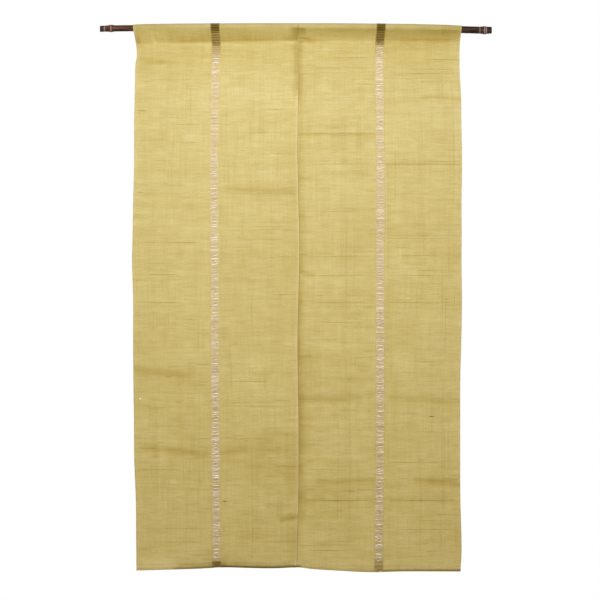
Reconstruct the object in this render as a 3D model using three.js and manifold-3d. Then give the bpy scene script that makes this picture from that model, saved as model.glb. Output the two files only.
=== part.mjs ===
// A noren curtain: two hemp panels on a bamboo rod, joined at the top by a short seam and open below it.
// Millimetres. +X runs along the rod to the right, -Y faces the viewer, +Z is up.
// The origin is on the rod's axis at the middle of the curtain. A drop is a distance below that axis.
import * as THREE from "three";
import { mergeVertices } from "three/addons/utils/BufferGeometryUtils.js";
import Module from "manifold-3d";

// The cloth
const PANEL_WIDTH = 450;
const CLOTH = 1.2;
const HEM_DEPTH = 18;
const SEAM_DROP = 190;
const SEAM_TURNING = 12;
const SLIT_HEM = 5;
const TURNING_STEP = 0.6;
const HEM_ROUND = 0.8;
const HEM_FLAT = 0.7;
const FIRST_SHEET_ROW = 50;

// The rod pocket: the cloth lies this far off the rod, and its layers meet this far under the rod's axis
const SLACK_AT_MOUTH = 0.7;
const SLACK_INSIDE = 1.9;
const MOUTH_LENGTH = 45;
const ARC_STEPS = 10;

// The ladders: stripes with no warp, where the bunched weft leaves rungs
const LADDER_ACROSS = 227.5;
const LADDER_WIDTH = 24;
const LADDER_MARGIN = 1.5;
const LADDER_PITCH = 14;
const RUNG = 4.4;
const LADDER_TOP_DROP = 56;
const LADDER_END_ABOVE_HEM = 4;
const RUNG_WANDER = 0.9;
const RUNG_TILT = 1.1;
const GAP_REACH = 14;
const POCKET_GAPS = [
  { top: -3, bottom: 4 },
  { top: 8, bottom: 14 },
];

// The bamboo: its nodes, with the height of the axis there and the radius of the cane between them
const ROD_SIDES = 18;
const ROD = [
  { across: -541, height: -4.0, radius: 8.5, raise: 0 },
  { across: -510, height: -2.8, radius: 8.6, raise: 1.9 },
  { across: -305, height: -0.8, radius: 8.9, raise: 1.1 },
  { across: -100, height: 0.0, radius: 9.1, raise: 1.1 },
  { across: 108, height: -0.4, radius: 9.3, raise: 1.1 },
  { across: 312, height: -2.5, radius: 9.5, raise: 1.1 },
  { across: 513, height: -7.9, radius: 9.8, raise: 1.7 },
  { across: 532, height: -7.6, radius: 9.4, raise: 0 },
];

// A node swells softly on both sides of its ring
const NODE_SHAPE = [
  { along: -13, share: 0 },
  { along: -7, share: 0.3 },
  { along: -2.5, share: 0.85 },
  { along: 0, share: 1 },
  { along: 2.5, share: 0.8 },
  { along: 6, share: 0.3 },
  { along: 11, share: 0 },
];
const ROD_END_ROUND = 1.5;

// Lines of the cloth: how far each stands to the right of its straight place at each drop
const LINES = [
  { drop: -12, outerLeft: 0.0, ladderLeft: 1.4, slit: 1.4, ladderRight: 1.9, outerRight: 0.0 },
  { drop: 14, outerLeft: 0.6, ladderLeft: 2.5, slit: 1.4, ladderRight: 0.5, outerRight: -2.0 },
  { drop: 36, outerLeft: 5.9, ladderLeft: 4.5, slit: 1.4, ladderRight: -1.6, outerRight: -4.7 },
  { drop: 56, outerLeft: 8.8, ladderLeft: 5.5, slit: 1.4, ladderRight: -2.0, outerRight: -5.9 },
  { drop: 80, outerLeft: 9.6, ladderLeft: 4.5, slit: 1.4, ladderRight: -3.0, outerRight: -6.2 },
  { drop: 100, outerLeft: 6.2, ladderLeft: 3.5, slit: 1.4, ladderRight: -3.2, outerRight: -5.9 },
  { drop: 146, outerLeft: 4.7, ladderLeft: 2.0, slit: 1.4, ladderRight: -3.3, outerRight: -4.4 },
  { drop: 192, outerLeft: 3.7, ladderLeft: 1.0, slit: 1.4, ladderRight: -2.5, outerRight: -1.6 },
  { drop: 260, outerLeft: 2.3, ladderLeft: 0.5, slit: 0.8, ladderRight: -1.5, outerRight: -0.8 },
  { drop: 340, outerLeft: 2.3, ladderLeft: -0.5, slit: 0.0, ladderRight: -0.5, outerRight: 0.8 },
  { drop: 400, outerLeft: 1.8, ladderLeft: -1.0, slit: 2.5, ladderRight: 0.0, outerRight: 0.9 },
  { drop: 474, outerLeft: -0.6, ladderLeft: 0.0, slit: 4.3, ladderRight: 0.0, outerRight: -0.5 },
  { drop: 560, outerLeft: -1.8, ladderLeft: 0.0, slit: 6.0, ladderRight: -0.3, outerRight: 0.0 },
  { drop: 640, outerLeft: -3.6, ladderLeft: 0.5, slit: 3.3, ladderRight: -0.8, outerRight: -0.6 },
  { drop: 748, outerLeft: -0.6, ladderLeft: 1.0, slit: 1.0, ladderRight: -0.8, outerRight: 0.7 },
  { drop: 858, outerLeft: -0.6, ladderLeft: 1.0, slit: -1.6, ladderRight: -0.8, outerRight: -0.9 },
  { drop: 965, outerLeft: 0.2, ladderLeft: 1.8, slit: 0.0, ladderRight: -0.8, outerRight: -3.6 },
  { drop: 1075, outerLeft: 1.8, ladderLeft: 2.7, slit: 2.0, ladderRight: -0.8, outerRight: -3.9 },
  { drop: 1187, outerLeft: 2.7, ladderLeft: 3.0, slit: 2.2, ladderRight: -1.5, outerRight: -4.2 },
  { drop: 1296, outerLeft: 7.0, ladderLeft: 4.5, slit: 0.0, ladderRight: -3.0, outerRight: -3.8 },
  { drop: 1385, outerLeft: 7.9, ladderLeft: 5.5, slit: -0.3, ladderRight: -4.7, outerRight: -1.1 },
  { drop: 1440, outerLeft: 8.6, ladderLeft: 5.5, slit: -1.2, ladderRight: -4.7, outerRight: -0.8 },
  { drop: 1493, outerLeft: 8.9, ladderLeft: 5.5, slit: -3.3, ladderRight: -5.0, outerRight: -3.6 },
];

// The slit: how far the right panel passes behind the left, how far the left edge comes forward,
// how far the right edge goes back, and how deep both panels sink towards it
const SLIT = [
  { drop: 60, lap: -0.3, lip: 0, setBack: 0, sink: 0 },
  { drop: 205, lap: -0.3, lip: 0, setBack: 0, sink: 1.5 },
  { drop: 260, lap: -0.3, lip: 1.8, setBack: 1.6, sink: 3 },
  { drop: 340, lap: 1.6, lip: 3.4, setBack: 3.0, sink: 4 },
  { drop: 560, lap: 3.0, lip: 4.4, setBack: 3.4, sink: 4.5 },
  { drop: 858, lap: 2.8, lip: 3.6, setBack: 4.2, sink: 5 },
  { drop: 1075, lap: 1.8, lip: 3.2, setBack: 4.6, sink: 4 },
  { drop: 1187, lap: -0.8, lip: 3.0, setBack: 3.0, sink: 3 },
  { drop: 1260, lap: -1.7, lip: 3.4, setBack: 2.6, sink: 3 },
  { drop: 1340, lap: 0.6, lip: 2.6, setBack: 4.0, sink: 5 },
  { drop: 1493, lap: 2.0, lip: 1.6, setBack: 5.0, sink: 6 },
];
const LIP_WIDTH = 14;
const SET_BACK_WIDTH = 38;
const SINK_WIDTH = 60;

// Where the back layer of the rod pocket ends, along the curtain
const POCKET_EDGE = [
  { across: -450, drop: 46 },
  { across: -330, drop: 42 },
  { across: -180, drop: 38 },
  { across: 0, drop: 37 },
  { across: 450, drop: 38 },
];

// The lower edge, along the curtain
const LOWER_EDGE = [
  { across: -441, drop: 1487.5 },
  { across: -330, drop: 1485.2 },
  { across: -270, drop: 1483.8 },
  { across: -200, drop: 1480.5 },
  { across: -130, drop: 1481.6 },
  { across: -60, drop: 1482.3 },
  { across: 0, drop: 1480.6 },
  { across: 40, drop: 1484.4 },
  { across: 110, drop: 1487.9 },
  { across: 200, drop: 1492.5 },
  { across: 290, drop: 1490.5 },
  { across: 370, drop: 1490 },
  { across: 445, drop: 1490.5 },
];

// Soft folds, each a rounded swell of the cloth towards the viewer, or away where forward is negative.
// The distance out is measured from the slit.
const PANELS = {
  panel_left: {
    side: -1,
    layersMeetAt: 33,
    outerLine: "outerLeft",
    ladderLine: "ladderLeft",
    folds: [
      { out: 440, drop: 75, wide: 60, tall: 45, forward: 3 },
      { out: 330, drop: 420, wide: 90, tall: 260, forward: 3.5 },
      { out: 120, drop: 620, wide: 70, tall: 330, forward: 3 },
      { out: 440, drop: 700, wide: 45, tall: 200, forward: -3 },
      { out: 230, drop: 980, wide: 80, tall: 300, forward: -3.5 },
      { out: 360, drop: 1250, wide: 80, tall: 260, forward: 5 },
      { out: 110, drop: 1330, wide: 60, tall: 220, forward: 4.5 },
      { out: 215, drop: 1490, wide: 110, tall: 26, forward: -8 },
      { out: 430, drop: 1470, wide: 50, tall: 90, forward: 4 },
    ],
  },
  panel_right: {
    side: 1,
    layersMeetAt: 24,
    outerLine: "outerRight",
    ladderLine: "ladderRight",
    folds: [
      { out: 150, drop: 330, wide: 80, tall: 220, forward: 3.5 },
      { out: 400, drop: 300, wide: 70, tall: 200, forward: -3 },
      { out: 330, drop: 640, wide: 90, tall: 300, forward: 3.5 },
      { out: 120, drop: 900, wide: 70, tall: 280, forward: 3 },
      { out: 440, drop: 980, wide: 60, tall: 160, forward: -5 },
      { out: 250, drop: 1180, wide: 90, tall: 260, forward: -4 },
      { out: 140, drop: 1460, wide: 70, tall: 150, forward: 6 },
      { out: 380, drop: 1440, wide: 80, tall: 200, forward: 5 },
    ],
  },
};
const FOLDS_START = 60;
const FOLDS_FULL = 200;

// Places across a panel, out from its slit edge, where its columns of faces stand
const COLUMNS_BESIDE_SLIT = [0, SLIT_HEM, SLIT_HEM + TURNING_STEP, SEAM_TURNING, SEAM_TURNING + TURNING_STEP];
const COLUMNS_TO_LADDER = [50, 105, 160];
const COLUMNS_TO_EDGE = [290, 345, 400, PANEL_WIDTH];

const wasm = await Module();
wasm.setup();

// Reads one column of a table at any place along it, straight or rounded between the rows.
function reader(rows, along, column, Kind = THREE.CubicInterpolant) {
  const places = rows.map((row) => row[along]);
  const values = rows.map((row) => row[column]);
  const between = new Kind(places, values, 1);
  return (at) => between.evaluate(at)[0];
}

const rodHeight = reader(ROD, "across", "height", THREE.LinearInterpolant);
const rodRadius = reader(ROD, "across", "radius", THREE.LinearInterpolant);
const pocketEdge = reader(POCKET_EDGE, "across", "drop");
const lowerEdge = reader(LOWER_EDGE, "across", "drop");
const slitShift = reader(LINES, "drop", "slit");
const lap = reader(SLIT, "drop", "lap", THREE.LinearInterpolant);
const lip = reader(SLIT, "drop", "lip");
const setBack = reader(SLIT, "drop", "setBack");
const sink = reader(SLIT, "drop", "sink");

// A rounded bell: 1 at its middle, falling off over the given reach.
function bell(offset, reach) {
  return Math.exp(-((offset / reach) ** 2));
}

function range(first, last) {
  return Array.from({ length: last - first + 1 }, (_, i) => first + i);
}

// A closed mesh as a solid. Faces that point inwards are turned round.
function solidFrom(positions, triangles) {
  const vertProperties = new Float32Array(positions);
  const build = (faces) => {
    const mesh = new wasm.Mesh({ numProp: 3, vertProperties, triVerts: new Uint32Array(faces) });
    return new wasm.Manifold(mesh);
  };
  const solid = build(triangles);
  if (solid.volume() > 0) return solid;
  const turned = [];
  for (let i = 0; i < triangles.length; i += 3) {
    turned.push(triangles[i], triangles[i + 2], triangles[i + 1]);
  }
  return build(turned);
}

function geometryFrom(solid) {
  const mesh = solid.getMesh();
  const geometry = new THREE.BufferGeometry();
  geometry.setAttribute("position", new THREE.BufferAttribute(mesh.vertProperties, 3));
  geometry.setIndex(new THREE.BufferAttribute(mesh.triVerts, 1));
  geometry.computeVertexNormals();
  return geometry;
}

// The panel's lines and depths, as functions of the distance out from the slit and of the drop.
function panelShape({ side, outerLine, ladderLine, folds }) {
  const outerShift = reader(LINES, "drop", outerLine);
  const ladderShift = reader(LINES, "drop", ladderLine);

  function across(out, drop) {
    const behind = side > 0 ? -lap(drop) : 0;
    const atSlit = slitShift(drop) + behind;
    const shift =
      out < LADDER_ACROSS
        ? THREE.MathUtils.mapLinear(out, 0, LADDER_ACROSS, atSlit, ladderShift(drop))
        : THREE.MathUtils.mapLinear(out, LADDER_ACROSS, PANEL_WIDTH, ladderShift(drop), outerShift(drop));
    return side * out + shift;
  }

  // The surface between the panel's front layer and whatever is folded behind it.
  function depth(out, drop) {
    const atSlit = side > 0 ? setBack(drop) * bell(out, SET_BACK_WIDTH) : -lip(drop) * bell(out, LIP_WIDTH);
    let total = sink(drop) * bell(out, SINK_WIDTH) + atSlit;
    for (const fold of folds) {
      total -= fold.forward * bell(out - fold.out, fold.wide) * bell(drop - fold.drop, fold.tall);
    }
    return total * THREE.MathUtils.smoothstep(drop, FOLDS_START, FOLDS_FULL);
  }

  // Extra cloth behind the front layer: the seam's turning, and the narrow hem of the slit below it.
  function turned(out, drop) {
    const reach = drop < SEAM_DROP ? SEAM_TURNING : SLIT_HEM;
    return out <= reach ? CLOTH : 0;
  }

  return { across, depth, turned };
}

// One column of a panel: its outer outline and the inside of its rod pocket, as points [x, y, z].
function columnOf(shape, out, layersMeetAt) {
  const atTop = shape.across(out, 0);
  const axis = rodHeight(atTop);
  const slack = THREE.MathUtils.mapLinear(
    THREE.MathUtils.smoothstep(PANEL_WIDTH - out, 0, MOUTH_LENGTH),
    0,
    1,
    SLACK_AT_MOUTH,
    SLACK_INSIDE,
  );
  const inside = rodRadius(atTop) + slack;
  const tangent = Math.asin(inside / layersMeetAt);
  const meet = layersMeetAt - axis;
  const edge = pocketEdge(atTop);
  const lower = lowerEdge(shape.across(out, LOWER_EDGE[0].drop));
  const hemTop = lower - HEM_DEPTH;
  const at = (y, drop) => [shape.across(out, drop), y, -drop];

  const arc = (radius) => {
    const points = [];
    for (let i = 0; i <= ARC_STEPS; i++) {
      const angle = THREE.MathUtils.lerp(-tangent, Math.PI + tangent, i / ARC_STEPS);
      points.push(at(-radius * Math.cos(angle), -(axis + radius * Math.sin(angle))));
    }
    return points;
  };

  const sheetDrops = LINES.map((line) => line.drop).filter((drop) => drop > FIRST_SHEET_ROW && drop < hemTop);
  const front = (drop) => at(shape.depth(out, drop) - CLOTH, drop);
  const back = (drop, layers) => at(shape.depth(out, drop) + layers, drop);

  const upFront = [
    at(shape.depth(out, lower) - HEM_FLAT, lower),
    front(lower - HEM_ROUND),
    front(hemTop),
    ...sheetDrops.toReversed().map(front),
    front(edge),
  ];
  const outline = [
    ...upFront,
    at(-CLOTH, meet),
    ...arc(inside + CLOTH),
    at(CLOTH, meet),
    at(CLOTH, edge - TURNING_STEP),
    back(edge, shape.turned(out, edge)),
    ...sheetDrops.map((drop) => back(drop, shape.turned(out, drop))),
    back(hemTop - TURNING_STEP, shape.turned(out, hemTop)),
    back(hemTop, CLOTH),
    back(lower - HEM_ROUND, CLOTH),
    at(shape.depth(out, lower) + HEM_FLAT, lower),
  ];
  return { outline, tunnel: [at(0, meet), ...arc(inside)], meetFront: upFront.length };
}

// The place of the hem's upper end in a column's outline, on the front.
const HEM_FRONT = 2;

// The sheet with its pocket and hem, as one closed solid: rings of points from column to column,
// with both end faces.
function sheetSolid(shape, outs, layersMeetAt) {
  const columns = outs.map((out) => columnOf(shape, out, layersMeetAt));
  const outlineCount = columns[0].outline.length;
  const columnCount = outlineCount + columns[0].tunnel.length;
  const meetFront = columns[0].meetFront;
  const meetBack = meetFront + ARC_STEPS + 2;
  const positions = columns.flatMap(({ outline, tunnel }) => [...outline, ...tunnel].flat());
  const triangles = [];

  function skin(first, count, flip) {
    for (let c = 0; c + 1 < columns.length; c++) {
      for (let i = 0; i < count; i++) {
        const a = c * columnCount + first + i;
        const b = c * columnCount + first + ((i + 1) % count);
        const [near, far] = flip ? [b, a] : [a, b];
        triangles.push(near, far, far + columnCount, near, far + columnCount, near + columnCount);
      }
    }
  }

  // The end faces follow the cloth: strips between its front and back, then round the pocket.
  function cap(c, flip) {
    const face = (...corners) => {
      if (new Set(corners).size < corners.length) return;
      const placed = corners.map((corner) => c * columnCount + corner);
      triangles.push(...(flip ? placed.toReversed() : placed));
    };
    const strip = (one, other) => {
      for (let i = 0; i + 1 < one.length; i++) {
        face(one[i], one[i + 1], other[i + 1]);
        face(one[i], other[i + 1], other[i]);
      }
    };
    const front = [...range(0, HEM_FRONT), ...range(HEM_FRONT, meetFront - 1), meetFront - 1, meetFront];
    strip(front, range(meetBack, outlineCount - 1).toReversed());
    strip(range(meetFront, meetBack), [...range(outlineCount, columnCount - 1), outlineCount]);
    face(meetBack, meetFront, outlineCount);
  }

  skin(0, outlineCount, false);
  skin(outlineCount, columnCount - outlineCount, true);
  cap(0, true);
  cap(columns.length - 1, false);
  return solidFrom(positions, triangles);
}

// The gaps between the rungs of a ladder, as one set of blocks that pass through the cloth.
// The rungs wander and lean a little, as bunched threads do.
function ladderGaps(shape, side) {
  const positions = [];
  const triangles = [];
  const half = LADDER_WIDTH / 2;
  const blockFaces = [
    [0, 1, 2, 3],
    [7, 6, 5, 4],
    [0, 4, 5, 1],
    [1, 5, 6, 2],
    [2, 6, 7, 3],
    [3, 7, 4, 0],
  ];

  function block(topInner, topOuter, bottomInner, bottomOuter) {
    const first = positions.length / 3;
    for (const reach of [-GAP_REACH, GAP_REACH]) {
      for (const [out, drop] of [
        [LADDER_ACROSS - half, topInner],
        [LADDER_ACROSS + half, topOuter],
        [LADDER_ACROSS + half, bottomOuter],
        [LADDER_ACROSS - half, bottomInner],
      ]) {
        positions.push(shape.across(out, drop), shape.depth(out, drop) + reach, -drop);
      }
    }
    for (const [a, b, c, d] of blockFaces) {
      const corners = side > 0 ? [a, b, c, d] : [d, c, b, a];
      const [p, q, r, s] = corners.map((corner) => first + corner);
      triangles.push(p, q, r, p, r, s);
    }
  }

  const axis = rodHeight(shape.across(LADDER_ACROSS, 0));
  for (const { top, bottom } of POCKET_GAPS) block(top - axis, top - axis, bottom - axis, bottom - axis);

  const end = lowerEdge(shape.across(LADDER_ACROSS, LOWER_EDGE[0].drop)) - HEM_DEPTH - LADDER_END_ABOVE_HEM;
  const count = Math.floor((end - LADDER_TOP_DROP) / LADDER_PITCH);
  const rung = (i, phase) => {
    const place = LADDER_TOP_DROP + i * LADDER_PITCH;
    if (i === 0 || i === count) return place;
    return place + RUNG_WANDER * Math.sin(i * 2.4 + side) + RUNG_TILT * Math.sin(i * 1.7 + phase);
  };
  for (let i = 0; i < count; i++) {
    block(rung(i, 0) + RUNG / 2, rung(i, 2) + RUNG / 2, rung(i + 1, 0) - RUNG / 2, rung(i + 1, 2) - RUNG / 2);
  }
  return solidFrom(positions, triangles);
}

function panelGeometry({ layersMeetAt, ...panel }) {
  const shape = panelShape(panel);
  const ladderEdge = LADDER_WIDTH / 2 + LADDER_MARGIN;
  const outs = [
    ...COLUMNS_BESIDE_SLIT,
    ...COLUMNS_TO_LADDER,
    LADDER_ACROSS - ladderEdge,
    LADDER_ACROSS + ladderEdge,
    ...COLUMNS_TO_EDGE,
  ];
  const cloth = sheetSolid(shape, outs, layersMeetAt);
  return geometryFrom(cloth.subtract(ladderGaps(shape, panel.side)));
}

// The cane is turned as a straight lathe form and then bowed: each ring is lifted to the height of its axis.
function rodGeometry() {
  const first = ROD[0];
  const last = ROD[ROD.length - 1];
  const profile = [
    new THREE.Vector2(0, first.across),
    new THREE.Vector2(first.radius - ROD_END_ROUND, first.across),
    new THREE.Vector2(first.radius, first.across + ROD_END_ROUND),
  ];
  for (const node of ROD.slice(1, -1)) {
    for (const { along, share } of NODE_SHAPE) {
      profile.push(new THREE.Vector2(node.radius + node.raise * share, node.across + along));
    }
  }
  profile.push(
    new THREE.Vector2(last.radius, last.across - ROD_END_ROUND),
    new THREE.Vector2(last.radius - ROD_END_ROUND, last.across),
    new THREE.Vector2(0, last.across),
  );
  const lathe = new THREE.LatheGeometry(profile, ROD_SIDES);
  lathe.rotateZ(-Math.PI / 2);
  lathe.deleteAttribute("normal");
  lathe.deleteAttribute("uv");
  const merged = mergeVertices(lathe);
  const positions = merged.attributes.position;
  for (let i = 0; i < positions.count; i++) {
    positions.setZ(i, positions.getZ(i) + rodHeight(positions.getX(i)));
  }
  return geometryFrom(solidFrom(positions.array, merged.index.array));
}

function namedMesh(name, geometry, look) {
  const mesh = new THREE.Mesh(geometry, new THREE.MeshStandardMaterial({ metalness: 0, ...look }));
  mesh.name = name;
  return mesh;
}

const CLOTH_LOOK = { color: 0xc8b46c, roughness: 0.92, side: THREE.DoubleSide };
const BAMBOO_LOOK = { color: 0x3c2318, roughness: 0.42 };

const noren = new THREE.Group();
noren.add(namedMesh("rod", rodGeometry(), BAMBOO_LOOK));
for (const [name, panel] of Object.entries(PANELS)) {
  noren.add(namedMesh(name, panelGeometry(panel), CLOTH_LOOK));
}

export default noren;
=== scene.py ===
# A noren curtain: two sheer hemp panels on a bamboo rod, with an open ladder of weft threads down each panel.
# Sizes are in millimetres until a mesh is made, which puts them in metres.
# +X runs along the rod to the right, -Y faces the viewer, +Z is up, and the origin is on the rod's axis.
# A drop is a distance below that axis. The distance out is measured across a panel, from the slit.
import math

import bpy
import numpy as np
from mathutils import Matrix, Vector


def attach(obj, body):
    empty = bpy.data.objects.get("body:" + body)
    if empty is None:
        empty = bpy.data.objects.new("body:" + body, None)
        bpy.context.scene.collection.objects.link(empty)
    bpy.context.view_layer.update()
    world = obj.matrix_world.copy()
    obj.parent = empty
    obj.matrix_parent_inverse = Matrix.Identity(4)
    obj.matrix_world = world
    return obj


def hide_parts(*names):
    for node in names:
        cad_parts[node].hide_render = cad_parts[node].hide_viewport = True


MM = 0.001


def table(columns, *rows):
    """The rows of a table, each as a dictionary under the names of the columns."""
    names = columns.split()
    return [dict(zip(names, row)) for row in rows]


# The cloth, as the solids have it
PANEL_WIDTH = 450
CLOTH = 1.2
HALF = CLOTH / 2
HEM_DEPTH = 18
SEAM_DROP = 190
SEAM_TURNING = 12
SLIT_HEM = 5
SLACK_AT_MOUTH = 0.7
SLACK_INSIDE = 1.9
MOUTH_LENGTH = 45
LADDER_ACROSS = 227.5
LIP_WIDTH = 14
SET_BACK_WIDTH = 38
SINK_WIDTH = 60
FOLDS_START = 60
FOLDS_FULL = 200

# How finely the sheets are divided
FRONT_ROWS = 560
TOP_ROWS = 36
TOP_REACH = 60
ARC_ROWS = 44
BACK_ROWS = 10
HEM_ROWS = 8
FOLD_ROWS = 5
HEM_BOTTOM = HEM_ROWS + FOLD_ROWS // 2
COLUMN = 5.0
FINE_COLUMN = 2.0
FINE_REACH = 40
FINE_EDGE = 20
LADDER_EDGE = 11.5
SEAM_EDGE = 0.1

# The bamboo: nodes with the height of the axis there and the radius of the cane
ROD = table(
    "across height radius rise",
    (-541, -4.0, 8.5, 0.0),
    (-510, -2.8, 8.6, 1.9),
    (-305, -0.8, 8.9, 1.1),
    (-100, 0.0, 9.1, 1.1),
    (108, -0.4, 9.3, 1.1),
    (312, -2.5, 9.5, 1.1),
    (513, -7.9, 9.8, 1.7),
    (532, -7.6, 9.4, 0.0),
)

# Lines of the cloth: how far each stands to the right of its straight place at each drop
LINES = table(
    "drop outer_left ladder_left slit ladder_right outer_right",
    (-12, 0.0, 1.4, 1.4, 1.9, 0.0),
    (14, 0.6, 2.5, 1.4, 0.5, -2.0),
    (36, 5.9, 4.5, 1.4, -1.6, -4.7),
    (56, 8.8, 5.5, 1.4, -2.0, -5.9),
    (80, 9.6, 4.5, 1.4, -3.0, -6.2),
    (100, 6.2, 3.5, 1.4, -3.2, -5.9),
    (146, 4.7, 2.0, 1.4, -3.3, -4.4),
    (192, 3.7, 1.0, 1.4, -2.5, -1.6),
    (260, 2.3, 0.5, 0.8, -1.5, -0.8),
    (340, 2.3, -0.5, 0.0, -0.5, 0.8),
    (400, 1.8, -1.0, 1.3, 0.0, 0.9),
    (474, -0.6, 0.0, 2.6, 0.0, -0.5),
    (560, -1.8, 0.0, 5.2, -0.3, 0.0),
    (640, -3.6, 0.5, 5.4, -0.8, -0.6),
    (748, -0.6, 1.0, 2.4, -0.8, 0.7),
    (858, -0.6, 1.0, 0.2, -0.8, -0.9),
    (965, 0.2, 1.8, 1.4, -0.8, -3.6),
    (1075, 1.8, 2.7, 3.0, -0.8, -3.9),
    (1187, 2.7, 3.0, 3.2, -1.5, -4.2),
    (1296, 7.0, 4.5, 2.4, -3.0, -3.8),
    (1385, 7.9, 5.5, -0.3, -4.7, -1.1),
    (1440, 8.6, 5.5, -1.2, -4.7, -0.8),
    (1493, 8.9, 5.5, -3.3, -5.0, -3.6),
)

# The slit: how far the right panel passes behind the left, how far each edge moves, and how deep both sink
SLIT = table(
    "drop lap lip set_back sink",
    (60, -0.3, 0, 0, 0),
    (178, -0.3, 0, 0, 1.2),
    (190, -0.2, 0.1, 0.1, 1.3),
    (200, 0.4, 1.0, 0.9, 1.5),
    (260, 0.7, 1.5, 1.5, 3),
    (340, 1.6, 2.2, 2.0, 4),
    (560, 3.0, 2.8, 2.2, 4.5),
    (858, 2.8, 2.3, 2.8, 5),
    (1075, 1.8, 2.0, 3.0, 4),
    (1187, 0.7, 2.0, 2.2, 3),
    (1260, 0.5, 2.2, 2.0, 3),
    (1340, 0.6, 1.8, 2.8, 5),
    (1493, 2.0, 1.4, 3.6, 6),
)

# Where the back layer of the rod pocket ends, and the lower edge, along the curtain
POCKET_EDGE = table(
    "across drop",
    (-450, 46), (-330, 42), (-180, 38), (0, 37), (450, 38),
)
LOWER_EDGE = table(
    "across drop",
    (-441, 1487.5), (-330, 1485.2), (-270, 1483.8), (-200, 1480.5), (-130, 1481.6), (-60, 1482.3),
    (0, 1480.6), (40, 1484.4), (110, 1487.9), (200, 1492.5), (290, 1490.5), (370, 1490),
    (445, 1490.5),
)

FOOT = LOWER_EDGE[0]["drop"]

# A node of the cane swells softly on both sides of its ring, and a fine groove runs beside the ring
NODE_SHAPE = table(
    "along share",
    (-13, 0), (-7, 0.3), (-2.5, 0.85), (0, 1), (2.5, 0.8), (6, 0.3), (11, 0),
)
NODE_GROOVE = 0.45
NODE_GROOVE_ALONG = 2.2
NODE_GROOVE_WIDE = 0.9
PALE_RINGS = table(
    "across wide sunk pale",
    (-529, 1.6, 0.35, 0.5),
    (499, 1.3, 0.3, 0.3),
    (517, 1.2, 0.2, 0.5),
)
ROD_END_ROUND = 1.5
ROD_SIDES = 64
ROD_STEP = 6.0
ROD_FINE_STEP = 0.6
PITH_SHARE = 0.42
PITH_DEPTH = 2.5

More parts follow.
